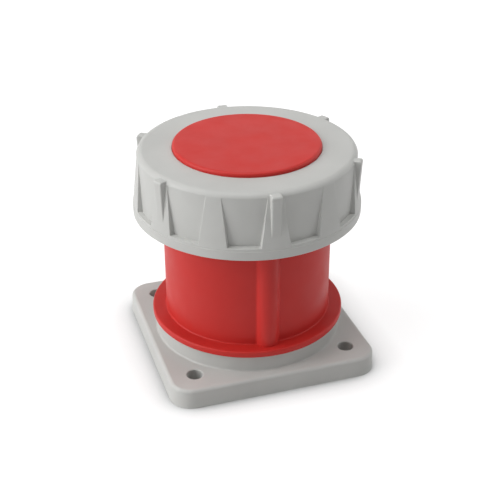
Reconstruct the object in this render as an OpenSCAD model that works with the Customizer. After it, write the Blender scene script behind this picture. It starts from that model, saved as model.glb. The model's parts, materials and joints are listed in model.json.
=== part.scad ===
// Industrial panel socket for a five-pole pin-and-sleeve plug, closed by its bayonet cap.
// Millimetres. The origin is the centre of the flange's back face and +Z points out of the panel.
// An angle on the round parts is counted from the front, -Y, towards +X.

/* [Mounting flange] */
// Side of the square plate
plate_side = 114; // [112:1:118]
// Radius of the plate's upright corners
plate_corner = 12; // [10:1:14]
// Thickness of the plate
plate_h = 11; // [10:0.5:12]
// Radius of the plate's upper edge
plate_edge = 2; // [1:0.5:2.5]
// How far the plate's sides lean in
plate_draft = 0.4; // [0:0.1:0.6]
// Distance between neighbouring fixing holes
hole_pitch = 85; // [84:0.5:87]
// Diameter of a fixing hole
hole_d = 8.4; // [6:0.2:9]
// Radius of the round boss at its foot
boss_r = 51; // [50.5:0.1:51.5]
// Height of the boss's top above the panel
boss_top = 20.5; // [20:0.1:21]
// Clear radius inside the boss
boss_bore_r = 47.5; // [47:0.1:48]
// Thickness of the web that the collar is screwed to
web_h = 3.5; // [3.5:0.1:4]
// Radius of the opening in the web
web_opening_r = 38.5; // [38:0.1:38.6]
// Depth of the pockets moulded into the plate's back
coring_depth = 7.5; // [5:0.5:8]

/* [Collar] */
// Turn of the collar and everything it carries against the plate
collar_turn = -4; // [-8:1:8]
// Radius of the base disc
disc_r = 52.8; // [52:0.1:53.5]
// Thickness of the base disc
disc_h = 3.8; // [3:0.1:4]
// Outer radius of the collar's tube
tube_r = 45.2; // [45:0.1:45.4]
// Inner radius of the collar's tube
bore_r = 42.2; // [42:0.1:42.4]
// Height of the rim above the panel
rim_z = 110; // [109.5:0.1:110]
// Underside of the collar's floor above the panel
floor_z = 33; // [32.5:0.5:33]
// Thickness of the collar's floor
floor_h = 5; // [4:0.5:5]
// Radius of the rib over the keyway
key_rib_r = 6; // [5.5:0.1:6.2]
// Distance of the rib's centre from the axis
key_centre_r = 43.4; // [43:0.1:43.6]
// Radius of the keyway inside the rib
keyway_r = 3.4; // [3:0.1:3.6]
// Radius of the hollow curve where the rib meets the tube
key_fillet = 1.5; // [1:0.1:2]

/* [Bayonet] */
// Angle that each collar ramp covers
ramp_span = 80; // [76:1:84]
// Outer radius of the ramps
ramp_r = 51; // [50.5:0.1:51]
// Underside of the ramps above the panel
ramp_z = 97; // [97:0.1:98]
// Height of the ramps
ramp_h = 6; // [5:0.5:6]
// Length of the sloped lead-in of a ramp, as an angle
lead_in = 10; // [6:1:12]
// Angle that each lug of the ring covers
lug_span = 24; // [20:1:26]
// Inner radius of the lugs
lug_r = 47; // [46.5:0.1:47.5]
// Turn from released to locked
lock_turn = 40; // [36:1:44]

/* [Contacts] */
// Radius of the circle that the five contacts stand on
contact_circle_r = 25; // [24.5:0.1:25.5]
// Radius of a line or neutral sleeve's bore
line_bore_r = 5; // [4.5:0.1:5]
// Radius of the earth sleeve's bore
earth_bore_r = 6; // [5.5:0.1:6]
// Radius of the pilot sleeve's bore
pilot_bore_r = 3; // [2.5:0.1:3]
// Wall of a contact sleeve
sleeve_wall = 2.2; // [2:0.1:2.4]
// Depth of the bore below the sleeve's mouth
sleeve_depth = 42; // [38:1:46]
// Radius of the insulating carrier
carrier_r = 37.5; // [37:0.1:37.6]
// Height of the carrier's face above the panel
carrier_top = 106; // [104:0.5:107]

/* [Lock ring] */
// Lower edge of the ring above the panel
ring_bottom = 83.5; // [83:0.1:84]
// Flat top of the ring above the panel
ring_top = 118; // [117.5:0.1:118]
// Radius of the plain band at the ring's foot
band_r = 60.6; // [60.4:0.1:61]
// Height of the plain band
band_h = 5.1; // [4.5:0.1:5.5]
// Radius of the grip pads where they start
pad_r = 60.3; // [60:0.1:60.4]
// How much the pads lean in for each millimetre of height
pad_lean = 0.105; // [0.09:0.005:0.12]
// Radius of the ring's rounded top edge
ring_edge = 3.5; // [3:0.1:4]
// Clear radius inside the ring's skirt
skirt_r = 54; // [53.9:0.1:54.1]
// Thickness of the ring's top plate
ring_plate_h = 3.6; // [3.4:0.1:3.6]
// Radius of the opening that shows the lid
ring_opening_r = 39.1; // [39.1:0.1:39.4]
// Number of grip pads
pad_count = 12; // [12]
// Radius of the pocket floors between the pads
pocket_r = 57.5; // [57.3:0.1:57.7]
// Ledge at the foot of a pocket above the panel
pocket_z = 90; // [89.5:0.1:90.5]
// Half the width of a pocket's floor at its foot
pocket_half_w = 7.6; // [7:0.1:8]
// How much that half width grows for each millimetre of height
pocket_flare = 0.138; // [0.12:0.005:0.15]
// How much a pocket's side wall leans for each millimetre of depth
pocket_side_lean = 0.67; // [0.4:0.05:0.8]
// Number of gripping ribs
rib_count = 6; // [6]
// Distance of a rib's outer face from the axis
rib_r = 60.8; // [60.6:0.1:61]
// Width of a rib at its foot
rib_foot_w = 4.4; // [4:0.1:5]
// Width of a rib at its top
rib_top_w = 5.6; // [5:0.1:6]
// Top of a rib above the panel
rib_top = 117.2; // [116.8:0.1:117.4]

/* [Lid] */
// Radius of the lid's raised disc
lid_r = 38.8; // [38.6:0.1:38.8]
// Top of the lid above the panel
lid_top = 120.2; // [119.5:0.1:120.5]
// Radius of the disc's rounded edge
lid_edge = 1.5; // [1:0.1:2]
// Radius of the hidden rim that the ring holds
lid_rim_r = 53.2; // [53:0.1:53.4]

/* [Hidden] */
$fn = 96;

light_grey = [0.76, 0.76, 0.74];
signal_red = [0.80, 0.20, 0.18];
carrier_grey = [0.24, 0.25, 0.27];
seal_black = [0.10, 0.10, 0.11];
brass = [0.80, 0.65, 0.32];
steel = [0.68, 0.69, 0.71];

// Overlap that keeps a cut from ending on a face
over = 1;

// Mounting flange
plate_half = plate_side / 2;
rim_wall = 4;
coring_half = plate_half - rim_wall;
coring_corner = plate_corner - rim_wall;
coring_ring_r = 53.2;
coring_bridge_w = 40;
coring_rib_w = 2.4;
hole_boss_r = 7.5;
hole_chamfer = 0.4;
boss_draft = 0.4;
boss_fillet = 1;
boss_edge = 0.6;
back_seal_r = [49, 51.4];
back_seal_depth = 1.8;
seal_groove_r = 48.1;
seal_wire_r = 0.9;

// Collar
disc_top = boss_top + disc_h;
disc_edge = 1;
tube_fillet = 0.8;
base_bore_r = 40.5;
floor_top = floor_z + floor_h;
screw_circle_r = 42.9;
screw_boss_r = 4.5;
screw_r = 2;
screw_head_r = 3.5;
screw_head_h = 3.5;
collar_screw_depth = 11;
ramp_pitch = 360 / 3;
// Centres of the three gaps that the lugs drop through
gap_angles = [for (i = [0:2]) i * ramp_pitch - lock_turn];
stop_angle = lock_turn + lug_span / 2 + 1;
stop_span = 3;
stop_z = ramp_z - 7;
lead_in_slope = 16;

// Insert
carrier_back_z = floor_top;
carrier_back_h = 6;
carrier_z = carrier_back_z + carrier_back_h;
shoulder_h = 3;
carrier_face_h = 2;
sleeve_top = carrier_top - carrier_face_h;
sleeve_clearance = 0.4;
block_clearance = 0.2;
block_bottom = 5;
entry_clearance = 0.1;
carrier_screw_r = 31;
carrier_screw_angles = [36, 180, 324];
carrier_screw_depth = 12;
slot_w = 1.2;
slot_length = 34;
spring_z = sleeve_top - 8;
spring_h = 2;
spring_depth = 0.8;
spring_gap = 24;
wire_bore_depth = 22;
terminal_screw_r = 3;
terminal_screw_z = [block_bottom + 6, block_bottom + 15];

// A contact's row: bore radius, terminal block radius, wire bore radius, angle
function contact_row(bore, angle) = [bore, bore + sleeve_wall + 1.3, bore + 0.5, angle];
pole_pitch = 360 / 5;
EARTH = contact_row(earth_bore_r, 0);
LINE_1 = contact_row(line_bore_r, -pole_pitch);
LINE_2 = contact_row(line_bore_r, -2 * pole_pitch);
LINE_3 = contact_row(line_bore_r, -3 * pole_pitch);
NEUTRAL = contact_row(line_bore_r, -4 * pole_pitch);
POLES = [EARTH, LINE_1, LINE_2, LINE_3, NEUTRAL];
PILOT = contact_row(pilot_bore_r, 0);

// Cap
joint_gap = 0.3;
pad_foot = ring_bottom + band_h;
band_edge = 0.6;
ring_bore_edge = 0.5;
ring_plate_z = ring_top - ring_plate_h;
lug_h = ramp_h;
lug_z = ramp_z - joint_gap - lug_h;
clip_h = 1.2;
clip_z = ring_plate_z - 5.2;
clip_r = [51.5, 55];
clip_gap = 20;
lid_rim_top = ring_plate_z - joint_gap;
lid_rim_z = clip_z + clip_h + 0.5;
lid_recess_r = 36;
lid_wall = 3;
gasket_r = [40.5, 48.5];
gasket_top = lid_rim_z + 1.5;
pad_pitch = 360 / pad_count;
rib_pitch = 360 / rib_count;
rib_foot = pad_foot + 0.4;

// Radius of the pads at a height
function pad_radius(z) = pad_r - pad_lean * (z - pocket_z);

// Turns what is built along +X to an angle counted from the front
module facing(angle) {
    rotate([0, 0, angle - 90])
        children();
}

// Everything that the collar carries is turned with it
module turned() {
    rotate([0, 0, collar_turn])
        children();
}

// A contact's own axis, on the contact circle
module at_pole(pole) {
    turned()
        facing(pole[3])
            translate([contact_circle_r, 0, 0])
                children();
}

// Rectangle with round corners
module soft_rect(x0, x1, y0, y1, r) {
    translate([x0 + r, y0])
        square([x1 - x0 - 2 * r, y1 - y0]);
    translate([x0, y0 + r])
        square([x1 - x0, y1 - y0 - 2 * r]);
    for (x = [x0 + r, x1 - r], y = [y0 + r, y1 - r])
        translate([x, y])
            circle(r);
}

// Ring of rectangular section
module ring(r_in, r_out, z, h) {
    translate([0, 0, z])
        difference() {
            cylinder(r = r_out, h = h);
            translate([0, 0, -over])
                cylinder(r = r_in, h = h + 2 * over);
        }
}

// Part of a ring, centred on an angle
module arc_block(r_in, r_out, z, h, angle, span) {
    facing(angle - span / 2)
        rotate_extrude(angle = span)
            translate([r_in, z])
                square([r_out - r_in, h]);
}

// Half section of a moulded plate: leaning side and round upper edge
module plate_section(half) {
    rise = plate_h - plate_edge;
    top_half = half - plate_draft;
    polygon([[0, 0], [half, 0], [top_half, rise], [top_half - plate_edge, plate_h], [0, plate_h]]);
    translate([top_half - plate_edge, rise])
        circle(plate_edge);
}

// The plate's outer form: four revolved corners joined by four straight sides
module plate_body() {
    corner = plate_half - plate_corner;
    for (x = [-corner, corner], y = [-corner, corner])
        translate([x, y, 0])
            rotate_extrude()
                intersection() {
                    plate_section(plate_corner);
                    square([plate_corner, plate_h]);
                }
    for (a = [0:90:270])
        rotate([90, 0, a])
            linear_extrude(height = 2 * corner, center = true)
                intersection() {
                    plate_section(plate_half);
                    square([plate_half, plate_h]);
                }
}

module at_holes() {
    for (x = [-1, 1], y = [-1, 1])
        translate([x * hole_pitch / 2, y * hole_pitch / 2, 0])
            children();
}

// Outline of the four pockets in the plate's back, one at each corner
module coring_outline() {
    inner = coring_half - coring_corner;
    difference() {
        union() {
            square([2 * coring_half, 2 * inner], center = true);
            square([2 * inner, 2 * coring_half], center = true);
            for (x = [-inner, inner], y = [-inner, inner])
                translate([x, y])
                    circle(coring_corner);
        }
        circle(coring_ring_r);
        square([2 * plate_side, coring_bridge_w], center = true);
        square([coring_bridge_w, 2 * plate_side], center = true);
        for (x = [-1, 1], y = [-1, 1])
            translate([x * hole_pitch / 2, y * hole_pitch / 2]) {
                circle(hole_boss_r);
                translate([x * coring_half / 2, 0])
                    square([coring_half, coring_rib_w], center = true);
                translate([0, y * coring_half / 2])
                    square([coring_rib_w, coring_half], center = true);
            }
    }
}

// Half section of the round boss, with its hollow curve at the plate
module boss_section() {
    top_r = boss_r - boss_draft;
    rise = boss_top - boss_edge;
    polygon([[0, 0], [boss_r, 0], [boss_r, plate_h], [top_r, rise],
             [top_r - boss_edge, boss_top], [0, boss_top]]);
    translate([top_r - boss_edge, rise])
        circle(boss_edge);
    difference() {
        translate([boss_r - over, plate_h - over])
            square([boss_fillet + over, boss_fillet + over]);
        translate([boss_r + boss_fillet, plate_h + boss_fillet])
            circle(boss_fillet);
    }
}

module mounting_flange() {
    web_z = boss_top - web_h;
    color(light_grey)
        difference() {
            union() {
                plate_body();
                rotate_extrude()
                    intersection() {
                        boss_section();
                        square([plate_half, boss_top]);
                    }
            }
            translate([0, 0, -over])
                cylinder(r = boss_bore_r, h = web_z + over);
            cylinder(r = web_opening_r, h = boss_top + over);
            ring(back_seal_r[0], back_seal_r[1], -over, back_seal_depth + over);
            translate([0, 0, boss_top])
                rotate_extrude()
                    translate([seal_groove_r - seal_wire_r - 0.1, -2 * seal_wire_r])
                        square([2 * seal_wire_r + 0.2, 2 * seal_wire_r + over]);
            translate([0, 0, -over])
                linear_extrude(height = coring_depth + over)
                    coring_outline();
            at_holes() {
                translate([0, 0, -over])
                    cylinder(d = hole_d, h = plate_h + 2 * over);
                translate([0, 0, plate_h - hole_chamfer])
                    cylinder(d1 = hole_d, d2 = hole_d + 4 * hole_chamfer, h = 2 * hole_chamfer);
            }
            at_collar_screws()
                translate([0, 0, web_z - over])
                    cylinder(r = screw_r + 0.2, h = web_h + 2 * over);
        }
}

// Flat rubber ring that seals the flange to the panel, pressed flush into its groove
module panel_seal() {
    color(seal_black)
        ring(back_seal_r[0], back_seal_r[1], 0.05, back_seal_depth - 0.05);
}

// O-ring between the flange and the collar
module collar_seal() {
    color(seal_black)
        translate([0, 0, boss_top - seal_wire_r])
            rotate_extrude()
                translate([seal_groove_r, 0])
                    circle(seal_wire_r);
}

module at_collar_screws() {
    turned()
        for (i = [0:3])
            facing(45 + 90 * i)
                translate([screw_circle_r, 0, 0])
                    children();
}

module at_carrier_screws() {
    turned()
        for (angle = carrier_screw_angles)
            facing(angle)
                translate([carrier_screw_r, 0, 0])
                    children();
}

// Hollow curve on one side of the key rib, between the rib's circle and the tube's
module key_rib_fillet(side) {
    tube_reach = tube_r + key_fillet;
    rib_reach = key_rib_r + key_fillet;
    x = (tube_reach ^ 2 - rib_reach ^ 2 + key_centre_r ^ 2) / (2 * key_centre_r);
    y = side * sqrt(tube_reach ^ 2 - x ^ 2);
    centre = [x, y];
    on_tube = centre * tube_r / tube_reach;
    on_rib = [key_centre_r, 0] + (centre - [key_centre_r, 0]) * key_rib_r / rib_reach;
    difference() {
        polygon([on_tube, centre, on_rib, [key_centre_r, side * key_rib_r / 2]]);
        translate(centre)
            circle(key_fillet);
    }
}

// Outline of the collar's tube with its key rib, the rib along +X
module tube_outline() {
    circle(tube_r);
    translate([key_centre_r, 0])
        circle(key_rib_r);
    key_rib_fillet(1);
    key_rib_fillet(-1);
}

// Cuts the sloped end of a ramp's underside, where a lug comes in
module ramp_lead_in(ramp_end) {
    run = ramp_r * sin(lead_in);
    facing(ramp_end)
        translate([0, -run, ramp_z])
            rotate([lead_in_slope, 0, 0])
                translate([ramp_r / 2, -over, -2 * ramp_h])
                    cube([ramp_r, 2 * run, 2 * ramp_h]);
}

// Three ramps that the ring's lugs slide under, each with a stop rib
module bayonet_ramps() {
    root = bore_r + over;
    for (gap = gap_angles) {
        difference() {
            arc_block(root, ramp_r, ramp_z, ramp_h, gap - ramp_pitch / 2, ramp_span);
            ramp_lead_in(gap - (ramp_pitch - ramp_span) / 2);
        }
        arc_block(root, ramp_r - over, stop_z, ramp_z - stop_z + over,
                  gap - stop_angle - stop_span / 2, stop_span);
    }
}

module collar() {
    color(signal_red)
        turned()
            difference() {
                union() {
                    rotate_extrude()
                        intersection() {
                            soft_rect(0, disc_r, boss_top, disc_top, disc_edge);
                            translate([disc_edge, 0])
                                square([disc_r, rim_z]);
                        }
                    rotate_extrude()
                        difference() {
                            translate([tube_r - over, disc_top - over])
                                square([tube_fillet + over, tube_fillet + over]);
                            translate([tube_r + tube_fillet, disc_top + tube_fillet])
                                circle(tube_fillet);
                        }
                    facing(0)
                        translate([0, 0, boss_top + disc_edge])
                            linear_extrude(height = rim_z - boss_top - disc_edge)
                                tube_outline();
                    bayonet_ramps();
                }
                translate([0, 0, floor_top])
                    cylinder(r = bore_r, h = rim_z);
                difference() {
                    cylinder(r = base_bore_r, h = floor_z);
                    rotate([0, 0, -collar_turn])
                        at_collar_screws()
                            cylinder(r = screw_boss_r, h = floor_z);
                }
                facing(0)
                    translate([key_centre_r, 0, floor_top])
                        cylinder(r = keyway_r, h = rim_z);
                rotate([0, 0, -collar_turn]) {
                    for (pole = POLES)
                        at_pole(pole)
                            cylinder(r = pole[1] + 0.5, h = rim_z);
                    at_collar_screws()
                        cylinder(r = screw_r, h = boss_top + collar_screw_depth);
                    at_carrier_screws()
                        cylinder(r = screw_r + 0.2, h = rim_z);
                }
                cylinder(r = PILOT[1] + 0.5, h = rim_z);
            }
}

// Pan-head screw, driven upwards: the head's top face is at z = 0
module pan_screw(length) {
    cylinder(r = screw_r, h = length - 1);
    translate([0, 0, length - 1])
        cylinder(r1 = screw_r, r2 = screw_r / 2, h = 1);
    difference() {
        translate([0, 0, -screw_head_h])
            rotate_extrude()
                intersection() {
                    soft_rect(-screw_head_r, screw_head_r, 0, 2 * screw_head_h, 1);
                    square([screw_head_r, screw_head_h]);
                }
        for (a = [0, 90])
            rotate([0, 0, a])
                cube([3.6, 0.9, 2 * screw_head_h - 3], center = true);
        translate([0, 0, -screw_head_h])
            for (a = [0, 90])
                rotate([0, 0, a])
                    cube([3.6, 0.9, 3], center = true);
    }
}

// Four screws that pull the collar onto the flange
module collar_screws() {
    color(steel)
        at_collar_screws()
            translate([0, 0, boss_top - web_h])
                pan_screw(web_h + collar_screw_depth - 1);
}

// Three screws that hold the insert on the collar's floor
module carrier_screws() {
    color(steel)
        at_carrier_screws()
            translate([0, 0, floor_z])
                pan_screw(floor_h + carrier_back_h + carrier_screw_depth - 1);
}

// Insulating plate that closes the carrier behind the contacts' shoulders
module carrier_back() {
    color(carrier_grey)
        difference() {
            translate([0, 0, carrier_back_z])
                cylinder(r = carrier_r, h = carrier_back_h);
            for (pole = POLES)
                at_pole(pole)
                    cylinder(r = pole[1] + block_clearance, h = rim_z);
            cylinder(r = PILOT[1] + block_clearance, h = rim_z);
            at_carrier_screws()
                cylinder(r = screw_r + 0.2, h = rim_z);
        }
}

// Room for one contact in the carrier: shoulder seat, sleeve bore and entry
module contact_cavity(pole) {
    translate([0, 0, carrier_z - over])
        cylinder(r = shoulder_r(pole), h = shoulder_h + over);
    translate([0, 0, carrier_z])
        cylinder(r = pole[0] + sleeve_wall + sleeve_clearance, h = sleeve_top - carrier_z);
    translate([0, 0, sleeve_top - over])
        cylinder(r = pole[0] + entry_clearance, h = carrier_face_h + 2 * over);
}

function shoulder_r(pole) = pole[1] + 1.1;

module contact_carrier() {
    color(carrier_grey)
        difference() {
            rotate_extrude()
                intersection() {
                    soft_rect(-carrier_r, carrier_r, 0, carrier_top, 1);
                    translate([0, carrier_z])
                        square([carrier_r, carrier_top]);
                }
            for (pole = POLES)
                at_pole(pole)
                    contact_cavity(pole);
            contact_cavity(PILOT);
            at_carrier_screws()
                cylinder(r = screw_r, h = carrier_z + carrier_screw_depth);
        }
}

// A contact on its own axis: terminal block, shoulder and sprung sleeve
module contact(pole, screw_heights) {
    sleeve_r = pole[0] + sleeve_wall;
    color(brass)
        difference() {
            union() {
                translate([0, 0, block_bottom])
                    cylinder(r = pole[1], h = carrier_z - block_bottom);
                translate([0, 0, carrier_z])
                    cylinder(r = shoulder_r(pole), h = shoulder_h);
                translate([0, 0, carrier_z + shoulder_h])
                    cylinder(r = sleeve_r, h = sleeve_top - carrier_z - shoulder_h);
            }
            translate([0, 0, sleeve_top - sleeve_depth])
                cylinder(r = pole[0], h = sleeve_depth + over);
            translate([0, 0, sleeve_top - 0.5])
                cylinder(r1 = pole[0], r2 = pole[0] + 1, h = 1);
            for (a = [0, 90])
                rotate([0, 0, a])
                    translate([-sleeve_r - over, -slot_w / 2, sleeve_top - slot_length])
                        cube([2 * (sleeve_r + over), slot_w, slot_length + over]);
            ring(sleeve_r - spring_depth, sleeve_r + over, spring_z, spring_h);
            translate([0, 0, block_bottom - over])
                cylinder(r = pole[2], h = wire_bore_depth + over);
            for (z = screw_heights)
                translate([0, 0, z])
                    rotate([0, 90, 0])
                        cylinder(r = terminal_screw_r, h = pole[1] + over);
        }
}

// Open spring band round a sleeve's fingers
module sleeve_spring(pole) {
    sleeve_r = pole[0] + sleeve_wall;
    color(steel)
        rotate([0, 0, 45 + spring_gap / 2])
            rotate_extrude(angle = 360 - spring_gap)
                translate([sleeve_r - spring_depth, spring_z])
                    square([spring_depth, spring_h]);
}

// Slotted clamping screw in the wall of a terminal block
module terminal_screw(pole) {
    length = 6;
    head = 1.2;
    rotate([0, 90, 0])
        difference() {
            translate([0, 0, pole[1] - length + head])
                cylinder(r = terminal_screw_r, h = length);
            translate([-terminal_screw_r - over, -0.5, pole[1]])
                cube([2 * (terminal_screw_r + over), 1, head + over]);
        }
}

module contact_pe() {
    at_pole(EARTH)
        contact(EARTH, terminal_screw_z);
}

module contact_l1() {
    at_pole(LINE_1)
        contact(LINE_1, terminal_screw_z);
}

module contact_l2() {
    at_pole(LINE_2)
        contact(LINE_2, terminal_screw_z);
}

module contact_l3() {
    at_pole(LINE_3)
        contact(LINE_3, terminal_screw_z);
}

module contact_n() {
    at_pole(NEUTRAL)
        contact(NEUTRAL, terminal_screw_z);
}

// The thin pilot contact stands in the middle, with one screw
module contact_pilot() {
    turned()
        facing(180)
            contact(PILOT, [terminal_screw_z[0]]);
}

module sleeve_spring_pe() {
    at_pole(EARTH)
        sleeve_spring(EARTH);
}

module sleeve_spring_l1() {
    at_pole(LINE_1)
        sleeve_spring(LINE_1);
}

module sleeve_spring_l2() {
    at_pole(LINE_2)
        sleeve_spring(LINE_2);
}

module sleeve_spring_l3() {
    at_pole(LINE_3)
        sleeve_spring(LINE_3);
}

module sleeve_spring_n() {
    at_pole(NEUTRAL)
        sleeve_spring(NEUTRAL);
}

module sleeve_spring_pilot() {
    turned()
        facing(180)
            sleeve_spring(PILOT);
}

module terminal_screws() {
    color(steel)
        for (pole = POLES, z = terminal_screw_z)
            at_pole(pole)
                translate([0, 0, z])
                    terminal_screw(pole);
}

module pilot_screw() {
    color(steel)
        turned()
            facing(180)
                translate([0, 0, terminal_screw_z[0]])
                    terminal_screw(PILOT);
}

// Red cover: raised disc in the middle, thin rim under the ring's plate
module lid() {
    color(signal_red)
        turned()
            difference() {
                rotate_extrude() {
                    intersection() {
                        soft_rect(-lid_r, lid_r, 0, lid_top, lid_edge);
                        translate([0, lid_rim_z])
                            square([lid_r, lid_top]);
                    }
                    translate([0, lid_rim_z])
                        square([lid_rim_r, lid_rim_top - lid_rim_z]);
                }
                translate([0, 0, lid_rim_z - over])
                    cylinder(r = lid_recess_r, h = lid_top - lid_wall - lid_rim_z + over);
                ring(gasket_r[0], gasket_r[1], lid_rim_z - over, gasket_top - lid_rim_z + over);
            }
}

// Flat rubber ring in the lid, over the collar's rim
module lid_gasket() {
    color(seal_black)
        ring(gasket_r[0], gasket_r[1], rim_z + joint_gap, gasket_top - rim_z - joint_gap);
}

// Half section of the lock ring before its pockets are cut
module ring_section() {
    edge_z = ring_top - ring_edge;
    edge_r = pad_radius(edge_z) - ring_edge * sqrt(1 + pad_lean ^ 2);
    lean = atan(pad_lean);
    polygon([
        [ring_opening_r, ring_plate_z], [ring_opening_r, ring_top - ring_bore_edge],
        [ring_opening_r + ring_bore_edge, ring_top], [edge_r, ring_top],
        [edge_r + ring_edge * cos(lean), edge_z + ring_edge * sin(lean)],
        [pad_radius(pad_foot), pad_foot], [band_r, pad_foot],
        [band_r, ring_bottom + band_edge], [band_r - band_edge, ring_bottom],
        [skirt_r, ring_bottom], [skirt_r, ring_plate_z]
    ]);
    translate([edge_r, edge_z])
        intersection() {
            circle(ring_edge);
            square(ring_edge);
        }
    translate([band_r - band_edge, ring_bottom + band_edge])
        circle(band_edge);
}

// All that lies beyond a pocket's side wall: the wall leans with the depth and with the height
module beyond_pocket_side() {
    lean = atan(pocket_side_lean);
    tilt = atan(pocket_flare * cos(lean));
    translate([pocket_r, pocket_half_w, pocket_z])
        rotate([0, 0, lean])
            rotate([-tilt, 0, 0])
                translate([-ring_top, 0, -ring_top])
                    cube([2 * ring_top, ring_top, 2 * ring_top]);
}

// Tool that sinks one pocket, along +X: wider outwards and wider upwards
module pocket_tool() {
    root = pocket_r - 3;
    difference() {
        translate([root, -pocket_r / 2, pocket_z])
            cube([band_r + 2 - root, pocket_r, ring_top]);
        beyond_pocket_side();
        mirror([0, 1, 0])
            beyond_pocket_side();
    }
}

// Upright gripping rib along +X
module grip_rib() {
    rib_root = pocket_r - 1.5;
    translate([rib_root, 0, 0])
        rotate([90, 0, 90])
            linear_extrude(height = rib_r - rib_root)
                polygon([[-rib_foot_w / 2, rib_foot], [rib_foot_w / 2, rib_foot],
                         [rib_top_w / 2, rib_top], [-rib_top_w / 2, rib_top]]);
}

module lock_ring() {
    color(light_grey)
        turned()
            difference() {
                union() {
                    difference() {
                        rotate_extrude()
                            ring_section();
                        difference() {
                            for (i = [0:pad_count - 1])
                                facing((i + 0.5) * pad_pitch)
                                    pocket_tool();
                            cylinder(r = pocket_r, h = 2 * ring_top);
                        }
                    }
                    for (i = [0:rib_count - 1])
                        facing(i * rib_pitch)
                            grip_rib();
                    for (gap = gap_angles)
                        arc_block(lug_r, skirt_r + over, lug_z, lug_h, gap, lug_span);
                }
                ring(skirt_r - over, clip_r[1], clip_z, clip_h);
            }
}

// Snap ring that keeps the lid in the lock ring
module ring_clip() {
    color(steel)
        turned()
            arc_block(clip_r[0], clip_r[1], clip_z, clip_h, 180, 360 - clip_gap);
}

mounting_flange();
panel_seal();
collar_seal();
collar();
collar_screws();
carrier_back();
contact_carrier();
carrier_screws();
contact_pe();
contact_l1();
contact_l2();
contact_l3();
contact_n();
contact_pilot();
sleeve_spring_pe();
sleeve_spring_l1();
sleeve_spring_l2();
sleeve_spring_l3();
sleeve_spring_n();
sleeve_spring_pilot();
terminal_screws();
pilot_screw();
lid();
lid_gasket();
lock_ring();
ring_clip();
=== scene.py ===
"""Looks of the industrial panel socket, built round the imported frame.

Lengths in the tables below are millimetres; the factor MM turns them into Blender units.
An angle on the round parts is counted in degrees from the front, -Y, towards +X.
"""
import json
import math

import bmesh
import bpy
import numpy as np
from mathutils import Matrix, Vector


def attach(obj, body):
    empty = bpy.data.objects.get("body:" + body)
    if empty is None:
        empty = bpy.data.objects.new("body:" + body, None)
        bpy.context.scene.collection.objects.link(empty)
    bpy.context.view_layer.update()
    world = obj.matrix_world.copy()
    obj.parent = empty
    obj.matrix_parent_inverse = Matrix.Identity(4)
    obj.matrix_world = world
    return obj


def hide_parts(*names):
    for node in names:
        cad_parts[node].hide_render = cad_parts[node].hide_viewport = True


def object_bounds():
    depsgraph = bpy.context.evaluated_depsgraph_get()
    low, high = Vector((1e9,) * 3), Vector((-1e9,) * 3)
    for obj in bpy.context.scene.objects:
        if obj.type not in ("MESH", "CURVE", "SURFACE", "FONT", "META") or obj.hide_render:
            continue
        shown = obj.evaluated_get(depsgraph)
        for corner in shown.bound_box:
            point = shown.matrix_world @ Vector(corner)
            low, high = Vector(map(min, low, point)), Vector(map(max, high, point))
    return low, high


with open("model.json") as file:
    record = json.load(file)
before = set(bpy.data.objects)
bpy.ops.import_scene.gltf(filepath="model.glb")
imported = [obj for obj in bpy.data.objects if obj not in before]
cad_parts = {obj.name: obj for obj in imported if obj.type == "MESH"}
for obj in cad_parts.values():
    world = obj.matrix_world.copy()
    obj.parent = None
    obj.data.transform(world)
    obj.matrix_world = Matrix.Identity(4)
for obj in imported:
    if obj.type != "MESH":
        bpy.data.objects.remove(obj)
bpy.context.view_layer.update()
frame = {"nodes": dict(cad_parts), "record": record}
MM = 0.001

# The collar and all it carries stand a little turned on the flange
COLLAR_TURN = -4.0


# ---------------------------------------------------------------- meshes


def rounded(corners, steps=5):
    """Half section from corners (r, z, radius): each corner with a radius becomes an arc."""
    points = []
    last = len(corners) - 1
    for i, (r, z, radius) in enumerate(corners):
        if radius == 0 or i in (0, last):
            points.append((r, z))
            continue
        here = np.array((r, z), float)
        before = np.array(corners[i - 1][:2], float) - here
        after = np.array(corners[i + 1][:2], float) - here
        before /= np.linalg.norm(before)
        after /= np.linalg.norm(after)
        half = math.acos(np.clip(before @ after, -1, 1)) / 2
        middle = (before + after) / np.linalg.norm(before + after)
        centre = here + middle * radius / math.sin(half)
        start = here + before * radius / math.tan(half) - centre
        end = here + after * radius / math.tan(half) - centre
        first = math.atan2(start[1], start[0])
        turn = (math.atan2(end[1], end[0]) - first + math.pi) % (2 * math.pi) - math.pi
        for a in first + turn * np.linspace(0, 1, steps + 1):
            points.append((centre[0] + radius * math.cos(a), centre[1] + radius * math.sin(a)))
    return points


def mesh_object(name, vertices, faces):
    """A smooth-shaded mesh object from vertices in millimetres."""
    data = bpy.data.meshes.new(name)
    data.from_pydata([tuple(v) for v in np.asarray(vertices) * MM], [], faces)
    data.validate()
    piece = bpy.data.objects.new(name, data)
    bpy.context.scene.collection.objects.link(piece)
    outward(piece)
    return piece


def outward(piece):
    """Makes every face of a closed piece look outwards and smooth."""
    work = bmesh.new()
    work.from_mesh(piece.data)
    bmesh.ops.recalc_face_normals(work, faces=work.faces)
    for face in work.faces:
        face.smooth = True
    work.to_mesh(piece.data)
    work.free()


def ring_grid(name, rows):
    """Closed ring from rows[i][j] = (x, y, z): both ways round the grid closes on itself."""
    rows = np.asarray(rows, float)
    n, m = rows.shape[:2]
    faces = [
        (i * m + j, i * m + (j + 1) % m, ((i + 1) % n) * m + (j + 1) % m, ((i + 1) % n) * m + j)
        for i in range(n)
        for j in range(m)
    ]
    return mesh_object(name, rows.reshape(-1, 3), faces)


def around(radius, height, angle):
    """Point at an angle counted from the front, on the turned axis."""
    a = np.radians(np.asarray(angle, float) + COLLAR_TURN)
    return np.stack(np.broadcast_arrays(radius * np.sin(a), -radius * np.cos(a), height), axis=-1)


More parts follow.
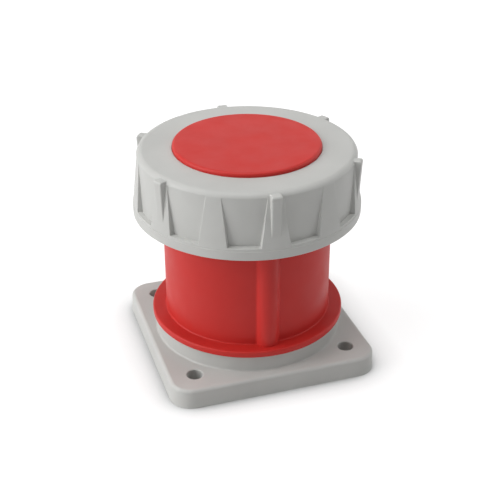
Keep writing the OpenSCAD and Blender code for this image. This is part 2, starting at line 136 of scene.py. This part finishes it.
def lathe(name, section, columns=240):
    """Solid of revolution from a half section that starts and ends on the axis, top first."""
    angles = np.linspace(0, 360, columns, endpoint=False)
    middle = section[1:-1]
    rows = np.array([around(r, z, angles) for r, z in middle]).reshape(-1, 3)
    vertices = np.vstack([(0, 0, section[0][1]), rows, (0, 0, section[-1][1])])
    end = len(vertices) - 1

    def at(i, j):
        return 1 + i * columns + j % columns

    faces = [(0, at(0, j), at(0, j + 1)) for j in range(columns)]
    for i in range(len(middle) - 1):
        faces += [(at(i, j), at(i + 1, j), at(i + 1, j + 1), at(i, j + 1)) for j in range(columns)]
    faces += [(end, at(len(middle) - 1, j + 1), at(len(middle) - 1, j)) for j in range(columns)]
    return mesh_object(name, vertices, faces)


def shade(piece, angle=32):
    """Smooth shading with the real edges kept sharp, and flat faces kept flat."""
    piece.data.set_sharp_from_angle(angle=math.radians(angle))
    normals = piece.modifiers.new("flat faces stay flat", "WEIGHTED_NORMAL")
    normals.keep_sharp = True
    return piece


# ---------------------------------------------------------------- lock ring

PADS = 12
PAD_PITCH = 360 / PADS
BAND_R = 60.6
# A pad starts at the ledge over the band and leans in as it rises
LEDGE_Z = 90
PAD_R, PAD_LEAN = 60.3, 0.105
# A pocket's floor: its radius, its half width at the ledge and how it widens upwards
POCKET_R = 57.5
HALF_POCKET, POCKET_TAPER = 7.6, 0.138
SIDE_LEAN = 0.25
# A rib leans out and widens as it rises
RIB_R, RIB_LEAN = 60.8, 0.048
RIB_FOOT_Z, RIB_TOP_Z = 88.9, 117.2
RIB_ROOT_R = 56.44
HALF_RIB, RIB_WIDENING = 2.2, 0.6
RING_TOP_Z = 118.0
# The round upper edge: centre of its arc and radius
EDGE_R, EDGE_Z, EDGE = 54.21, 114.5, 3.5
SKIRT_R = 54.0
LUG_R = 47.0
LUG_GAPS = (-40, 80, 200)
LUG_SPAN = 24
# Smallest angle kept between neighbouring columns, in degrees
COLUMN_GAP = 0.12


def pad_radius(z):
    return PAD_R - PAD_LEAN * (z - LEDGE_Z)


def rib_front(z):
    return RIB_R - RIB_LEAN * (RIB_TOP_Z - z)


def ring_edge(angle):
    """Point on the ring's round upper edge."""
    a = math.radians(angle)
    return EDGE_R + EDGE * math.cos(a), EDGE_Z + EDGE * math.sin(a)


def ring_outside():
    """Outer half sections on a pad, in a pocket and on a rib, with the same rows in each."""
    foot = [(60.0, 83.5), (60.3, 83.58), (60.52, 83.8), (BAND_R, 84.1), (BAND_R, 86.0)]
    foot += [(BAND_R, 88.2), (60.57, 88.42), (60.44, 88.54), (60.3, 88.62), (60.36, 88.76)]
    foot += [(pad_radius(z), z) for z in (88.9, 89.2, 89.5)]
    ledge = rounded([
        (60.33, 89.6, 0), (PAD_R, LEDGE_Z, 0.2), (POCKET_R, LEDGE_Z, 0.2), (POCKET_R, 90.9, 0),
    ], 4)
    ledge_pad = [(pad_radius(z), z) for z in np.linspace(89.6, 90.9, len(ledge))]
    side_z = np.linspace(91.6, 114.2, 26)
    edge = [ring_edge(a) for a in np.linspace(0, 50.5, 12)]
    above = [ring_edge(a) for a in (57, 64, 71, 78, 85, 90)]
    rib_top = rounded([
        (rib_front(EDGE_Z), EDGE_Z, 0), (RIB_R, RIB_TOP_Z, 1.1), (RIB_ROOT_R, RIB_TOP_Z, 0),
    ], 5)
    middle = rib_top[-2]
    rib_top = rib_top[:-1] + [
        (middle[0] + (RIB_ROOT_R - middle[0]) * t, RIB_TOP_Z) for t in (0.2, 0.45, 0.7, 0.9, 1.0)
    ]
    pad = foot + ledge_pad + [(pad_radius(z), z) for z in side_z] + edge + above
    pocket = foot + ledge + [(POCKET_R, z) for z in side_z]
    pocket += [(min(r, POCKET_R), z) for r, z in edge] + above
    rib = [
        (max(r, rib_front(z)), z) for r, z in foot + ledge_pad + [(pad_radius(z), z) for z in side_z]
    ]
    rib += rib_top + above
    return np.array(pad), np.array(pocket), np.array(rib)


def ring_inside():
    """Half section over the top, through the opening and down the skirt, plain and at a lug."""
    start = [(53.4, RING_TOP_Z), (47.0, RING_TOP_Z), (40.3, RING_TOP_Z)]
    start += rounded([(39.8, RING_TOP_Z, 0), (39.1, RING_TOP_Z, 0.3), (39.1, 116, 0)], 4)[1:]
    start += [(39.1, 114.9), (39.2, 114.5), (39.6, 114.4), (46.0, 114.4), (53.0, 114.4)]
    start += [(53.7, 114.3), (SKIRT_R, 113.9), (SKIRT_R, 112.0), (SKIRT_R, 110.4), (55.0, 110.4)]
    start += [(55.0, 109.2), (SKIRT_R, 109.2), (SKIRT_R, 104.0), (SKIRT_R, 98.0)]
    plain = [(SKIRT_R, z) for z in (97.0, 96.8, 96.4, 91.0, 90.6, 90.4)]
    lug = [(SKIRT_R, 96.7), (47.3, 96.7), (LUG_R, 96.4), (LUG_R, 91.0), (47.3, 90.7), (SKIRT_R, 90.7)]
    end = [(SKIRT_R, 87.0), (SKIRT_R, 83.9), (54.12, 83.6), (54.4, 83.5), (57.2, 83.5)]
    return np.array(start + plain + end), np.array(start + lug + end)


def softened(corners, reaches, between):
    """Points along a line of corners in space: every inner corner is drawn round.

    reaches says how far each inner corner's curve reaches, and between how many points lie on
    each stretch."""
    lengths = [np.linalg.norm(b - a) for a, b in zip(corners, corners[1:])]
    curves = []
    for i in range(1, len(corners) - 1):
        here = corners[i]
        back = min(reaches[i - 1], 0.45 * lengths[i - 1]) / lengths[i - 1]
        on = min(reaches[i - 1], 0.45 * lengths[i]) / lengths[i]
        start = here + (corners[i - 1] - here) * back
        end = here + (corners[i + 1] - here) * on
        curves.append([
            (1 - t) ** 2 * start + 2 * t * (1 - t) * here + t * t * end for t in np.linspace(0, 1, 5)
        ])
    points = [corners[0]]
    for i, curve in enumerate(curves + [[corners[-1]]]):
        fill = np.linspace(0, 1, between[i] + 2)[1:-1]
        points += [points[-1] + (curve[0] - points[-1]) * t for t in fill]
        points += list(curve)
    return np.array(points)


def half_pad(pad, pocket, rib):
    """One row of half a pad and half a pocket: columns of (degrees from the pad's middle, r, z)."""
    half_pocket = HALF_POCKET + POCKET_TAPER * (pad[1] - LEDGE_Z)
    half_rib = HALF_RIB + RIB_WIDENING * (pad[1] - RIB_FOOT_Z) / (RIB_TOP_Z - RIB_FOOT_Z)

    def wall(r):
        across = (half_pocket + SIDE_LEAN * (r - POCKET_R)) / r
        return PAD_PITCH / 2 - math.degrees(math.asin(across))

    on_pad, on_floor = wall(pad[0]), wall(pocket[0])
    rib_side = math.degrees(math.asin(half_rib / RIB_R))
    corners = [
        (0, *rib),
        (rib_side, *rib),
        (rib_side + COLUMN_GAP, *pad),
        (on_pad, *pad),
        (max(on_floor, on_pad + COLUMN_GAP), *pocket),
        (PAD_PITCH / 2, *pocket),
    ]
    return softened([np.array(c, float) for c in corners], (0.8, 0.4, 0.3, 0.25), (3, 1, 3, 2, 4))


def make_lock_ring():
    """Grip ring: twelve pads with pockets between them and a rib on every second pad."""
    pad, pocket, rib = ring_outside()
    plain, lug = ring_inside()
    with_rib = np.array([half_pad(*row) for row in zip(pad, pocket, rib)])
    without_rib = np.array([half_pad(*row) for row in zip(pad, pocket, pad)])
    count = with_rib.shape[1]
    even = np.linspace(0, PAD_PITCH / 2, count)
    outer, angles = [], []
    for i in range(PADS):
        half = without_rib if i % 2 else with_rib
        for side, columns in ((-1, range(count - 1, 0, -1)), (1, range(count - 1))):
            for j in columns:
                outer.append([(i * PAD_PITCH + side * a, r, z) for a, r, z in half[:, j]])
                angles.append(i * PAD_PITCH + side * even[j])
    outer = np.array(outer).transpose(1, 0, 2)
    angles = np.array(angles)
    in_lug = np.zeros(len(angles), bool)
    for gap in LUG_GAPS:
        off = (angles - gap + 180) % 360 - 180
        inside = np.flatnonzero(np.abs(off) < LUG_SPAN / 2)
        in_lug[inside] = True
        first, last = inside[np.argmin(off[inside])], inside[np.argmax(off[inside])]
        angles[first] = gap - LUG_SPAN / 2
        angles[first - 1] = angles[first] - 0.05
        angles[last] = gap + LUG_SPAN / 2
        angles[(last + 1) % len(angles)] = angles[last] + 0.05
    rows = [around(row[:, 1], row[:, 2], row[:, 0]) for row in outer]
    for (r, z), (lug_r, lug_z) in zip(plain, lug):
        rows.append(around(np.where(in_lug, lug_r, r), np.where(in_lug, lug_z, z), angles))
    return ring_grid("grip_ring", rows)


# ---------------------------------------------------------------- lid


# The disc all but fills the ring's opening
LID_R = 39.0
LID_TOP_Z = 120.2


def make_lid():
    """Red lid: a raised disc in the ring's opening and a rim that the ring holds."""
    section = rounded([
        (0, LID_TOP_Z, 0), (LID_R, LID_TOP_Z, 1.5), (LID_R, 114.1, 0.3), (53.2, 114.1, 0.4),
        (53.2, 110.9, 0.4),
        (48.5, 110.9, 0.2), (48.5, 112.4, 0), (40.5, 112.4, 0), (40.5, 110.9, 0.2), (36, 110.9, 0.5),
        (36, 117.2, 0.8), (0, 117.2, 0),
    ], 6)
    section[1:1] = [(12, LID_TOP_Z), (24, LID_TOP_Z), (36.6, LID_TOP_Z)]
    return lathe("lid_disc", section)


# ---------------------------------------------------------------- finishes


def new_material(name):
    material = bpy.data.materials.new(name)
    material.use_nodes = True
    nodes = material.node_tree.nodes
    return material, nodes, material.node_tree.links, nodes["Principled BSDF"]


def noise(nodes, links, scale, detail=4.0, roughness=0.5):
    """Noise over the object's own coordinates; the scale is in waves per metre."""
    where = nodes.new("ShaderNodeTexCoord")
    texture = nodes.new("ShaderNodeTexNoise")
    texture.inputs["Scale"].default_value = scale
    texture.inputs["Detail"].default_value = detail
    texture.inputs["Roughness"].default_value = roughness
    links.new(where.outputs["Object"], texture.inputs["Vector"])
    return texture.outputs["Fac"]


def spread(nodes, links, value, low, high):
    """Stretches a noise value to a range."""
    change = nodes.new("ShaderNodeMapRange")
    change.inputs["From Min"].default_value = 0.3
    change.inputs["From Max"].default_value = 0.7
    change.inputs["To Min"].default_value = low
    change.inputs["To Max"].default_value = high
    links.new(value, change.inputs["Value"])
    return change.outputs["Result"]


def tones(nodes, links, value, dark, light):
    """Colour between two tones."""
    mix = nodes.new("ShaderNodeMix")
    mix.data_type = "RGBA"
    mix.inputs["A"].default_value = (*dark, 1)
    mix.inputs["B"].default_value = (*light, 1)
    links.new(value, mix.inputs["Factor"])
    return mix.outputs["Result"]


def grain(nodes, links, shader, height, distance, strength):
    """Fine relief from a height value."""
    bump = nodes.new("ShaderNodeBump")
    bump.inputs["Strength"].default_value = strength
    bump.inputs["Distance"].default_value = distance * MM
    links.new(height, bump.inputs["Height"])
    links.new(bump.outputs["Normal"], shader.inputs["Normal"])


def moulded_plastic(name, colour, roughness, tone=0.04, relief=0.25):
    """Satin moulding: faintly uneven tone, fine grain and patches a little glossier than others."""
    material, nodes, links, shader = new_material(name)
    dark = [c * (1 - tone) for c in colour]
    light = [min(c * (1 + tone), 1) for c in colour]
    patches = spread(nodes, links, noise(nodes, links, 35, 5), 0, 1)
    links.new(tones(nodes, links, patches, dark, light), shader.inputs["Base Color"])
    gloss = spread(nodes, links, noise(nodes, links, 90, 3), roughness - 0.05, roughness + 0.05)
    links.new(gloss, shader.inputs["Roughness"])
    shader.inputs["IOR"].default_value = 1.4
    shader.inputs["Specular IOR Level"].default_value = 0.4
    grain(nodes, links, shader, noise(nodes, links, 1700, 3, 0.6), 0.06, relief)
    return material


def rubber():
    material, nodes, links, shader = new_material("moulded_rubber")
    patches = spread(nodes, links, noise(nodes, links, 120), 0, 1)
    colour = tones(nodes, links, patches, (0.014, 0.014, 0.015), (0.026, 0.026, 0.028))
    links.new(colour, shader.inputs["Base Color"])
    links.new(spread(nodes, links, noise(nodes, links, 300), 0.6, 0.75), shader.inputs["Roughness"])
    grain(nodes, links, shader, noise(nodes, links, 1500), 0.05, 0.3)
    return material


def metal(name, dark, light, low, high):
    """Bare metal with a fine worked surface."""
    material, nodes, links, shader = new_material(name)
    shader.inputs["Metallic"].default_value = 1.0
    patches = spread(nodes, links, noise(nodes, links, 160, 6), 0, 1)
    links.new(tones(nodes, links, patches, dark, light), shader.inputs["Base Color"])
    links.new(spread(nodes, links, noise(nodes, links, 420, 4), low, high), shader.inputs["Roughness"])
    grain(nodes, links, shader, noise(nodes, links, 2500, 3), 0.02, 0.25)
    return material


GREY = moulded_plastic("moulded_grey", (0.545, 0.547, 0.528), 0.46)
RED = moulded_plastic("moulded_red", (0.56, 0.027, 0.022), 0.48)
DARK = moulded_plastic("moulded_dark_grey", (0.055, 0.058, 0.064), 0.45)
RUBBER = rubber()
BRASS = metal("turned_brass", (0.62, 0.44, 0.18), (0.80, 0.60, 0.28), 0.22, 0.36)
STEEL = metal("zinc_plated_steel", (0.55, 0.56, 0.57), (0.70, 0.70, 0.71), 0.26, 0.4)
FINISHES = {
    "grey_plastic": GREY,
    "red_plastic": RED,
    "carrier_plastic": DARK,
    "seal_rubber": RUBBER,
    "contact_brass": BRASS,
    "screw_steel": STEEL,
}


def finish(piece, material):
    piece.data.materials.clear()
    piece.data.materials.append(material)


def dress_node(node, material):
    """Finish for a CAD node: seams of the mesh closed, round faces smooth, real edges sharp."""
    finish(node, material)
    if "custom_normal" in node.data.attributes:
        node.data.attributes.remove(node.data.attributes["custom_normal"])
    node.data.polygons.foreach_set("use_smooth", [True] * len(node.data.polygons))
    weld = node.modifiers.new("closed seams", "WELD")
    weld.merge_threshold = 0.002 * MM
    split = node.modifiers.new("sharp edges", "EDGE_SPLIT")
    split.split_angle = math.radians(30)
    split.use_edge_sharp = False
    node.modifiers.new("flat faces stay flat", "WEIGHTED_NORMAL")


# ---------------------------------------------------------------- dressing the frame

for part in frame["record"]["subparts"]:
    dress_node(frame["nodes"][part["node"]], FINISHES[part["material_slot"]])

for piece, node, body, slot_name in (
    (make_lock_ring(), "lock_ring", "ring", "grey_plastic"),
    (make_lid(), "lid", "lid", "red_plastic"),
):
    shade(piece)
    finish(piece, FINISHES[slot_name])
    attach(piece, body)
    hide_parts(node)


# ---------------------------------------------------------------- floor, light and camera


def seen_directly(nodes, links):
    """1 for what the camera sees, straight, in gloss or through glass, and 0 for other light."""
    path = nodes.new("ShaderNodeLightPath")
    either = nodes.new("ShaderNodeMath")
    either.operation = "MAXIMUM"
    links.new(path.outputs["Is Camera Ray"], either.inputs[0])
    links.new(path.outputs["Is Glossy Ray"], either.inputs[1])
    through = nodes.new("ShaderNodeMath")
    through.operation = "MAXIMUM"
    links.new(either.outputs[0], through.inputs[0])
    links.new(path.outputs["Is Transmission Ray"], through.inputs[1])
    return through.outputs[0]


def white_surround(fill_level):
    """World that is white to look at and lights the object faintly and evenly."""
    world = bpy.data.worlds.new("surround")
    bpy.context.scene.world = world
    world.use_nodes = True
    nodes, links = world.node_tree.nodes, world.node_tree.links
    nodes.clear()
    fill = nodes.new("ShaderNodeBackground")
    fill.inputs["Strength"].default_value = fill_level
    white = nodes.new("ShaderNodeBackground")
    for light in (fill, white):
        light.inputs["Color"].default_value = (1, 1, 1, 1)
    mix = nodes.new("ShaderNodeMixShader")
    links.new(seen_directly(nodes, links), mix.inputs[0])
    links.new(fill.outputs[0], mix.inputs[1])
    links.new(white.outputs[0], mix.inputs[2])
    out = nodes.new("ShaderNodeOutputWorld")
    links.new(mix.outputs[0], out.inputs["Surface"])


def floor_material():
    """Pale matte floor, lifted to white where it is looked at, with a painted contact shadow at the
    foot: the lift fades near the object, over the real shadow that the matte floor keeps.
    """
    material = bpy.data.materials.new("floor")
    material.use_nodes = True
    nodes, links = material.node_tree.nodes, material.node_tree.links
    nodes.clear()
    seen = seen_directly(nodes, links)
    matte = nodes.new("ShaderNodeBsdfDiffuse")
    links.new(tones(nodes, links, seen, (0.8, 0.8, 0.8), (0.42, 0.42, 0.42)), matte.inputs["Color"])
    # Painted contact shadow: ambient occlusion turns the lift down close to the object, so the floor
    # darkens at its foot
    near = nodes.new("ShaderNodeAmbientOcclusion")
    near.samples = 16
    near.inputs["Distance"].default_value = 0.022
    painted_shadow_ramp = nodes.new("ShaderNodeValToRGB")
    ramp = painted_shadow_ramp.color_ramp
    ramp.elements[0].position, ramp.elements[1].position = 0.5, 1.0
    for element, value in (
        (ramp.elements[0], 0.03),
        (ramp.elements.new(0.62), 0.26),
        (ramp.elements.new(0.76), 0.48),
        (ramp.elements[-1], 0.74),
    ):
        element.color = (value, value, value, 1)
    links.new(near.outputs["AO"], painted_shadow_ramp.inputs["Fac"])
    level = nodes.new("ShaderNodeMath")
    level.operation = "MULTIPLY"
    links.new(seen, level.inputs[0])
    links.new(painted_shadow_ramp.outputs["Color"], level.inputs[1])
    lift = nodes.new("ShaderNodeEmission")
    links.new(level.outputs[0], lift.inputs["Strength"])
    add = nodes.new("ShaderNodeAddShader")
    links.new(matte.outputs[0], add.inputs[0])
    links.new(lift.outputs[0], add.inputs[1])
    out = nodes.new("ShaderNodeOutputMaterial")
    links.new(add.outputs[0], out.inputs["Surface"])
    return material


def direction(azimuth, elevation):
    """Unit vector towards a place: the azimuth is counted from the front towards +X."""
    a, e = math.radians(azimuth), math.radians(elevation)
    return Vector((math.sin(a) * math.cos(e), -math.cos(a) * math.cos(e), math.sin(e)))


def sun(name, azimuth, elevation, strength, spread_angle):
    """Soft light from a direction."""
    lamp = bpy.data.lights.new(name, "SUN")
    lamp.energy = strength
    lamp.angle = math.radians(spread_angle)
    holder = bpy.data.objects.new(name, lamp)
    bpy.context.scene.collection.objects.link(holder)
    holder.rotation_euler = direction(azimuth, elevation).to_track_quat("Z", "Y").to_euler()


# Where the camera stands: degrees from the front, degrees up and distance from its target
CAMERA_AZIMUTH, CAMERA_ELEVATION, CAMERA_DISTANCE = -17.903, 29.438, 577.621
# The target lies this far to the right of and above the middle of the socket's axis
TARGET_Z, TARGET_RIGHT, TARGET_UP = 50, 1.541, 4.906
FOCAL_LENGTH = 75.51
SENSOR_WIDTH = 36


def place_camera():
    """Camera at the height and side from which the socket is seen, with a mild telephoto lens."""
    azimuth = math.radians(CAMERA_AZIMUTH)
    back = direction(CAMERA_AZIMUTH, CAMERA_ELEVATION)
    right = Vector((math.cos(azimuth), math.sin(azimuth), 0))
    up = back.cross(right)
    target = Vector((0, 0, TARGET_Z)) + TARGET_RIGHT * right + TARGET_UP * up
    lens = bpy.data.cameras.new("camera")
    lens.lens = FOCAL_LENGTH
    lens.sensor_width = SENSOR_WIDTH
    lens.clip_start = 0.01
    lens.clip_end = 50
    camera = bpy.data.objects.new("camera", lens)
    bpy.context.scene.collection.objects.link(camera)
    place = Matrix.Translation((target + CAMERA_DISTANCE * back) * MM)
    camera.matrix_world = place @ Matrix((right, up, back)).transposed().to_4x4()
    bpy.context.scene.camera = camera


# Angle that each lamp covers as seen from the socket, in degrees
LAMP_SPREAD = 50
# Side of the floor, in metres
FLOOR_SIDE = 40

white_surround(0.05)
bpy.ops.mesh.primitive_plane_add(size=FLOOR_SIDE, location=(0, 0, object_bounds()[0][2]))
floor = bpy.context.object
floor.name = "floor"
floor.data.materials.append(floor_material())
for name, azimuth, elevation, strength in (
    ("low_left", -95, 15, 2.0),
    ("high_left", -95, 45, 0.7),
    ("overhead", -95, 85, 1.25),
    ("low_right", 80, 15, 0.25),
    ("high_right", 80, 45, 0.55),
):
    sun(name, azimuth, elevation, strength, LAMP_SPREAD)
place_camera()
bpy.context.scene.view_settings.view_transform = "Standard"
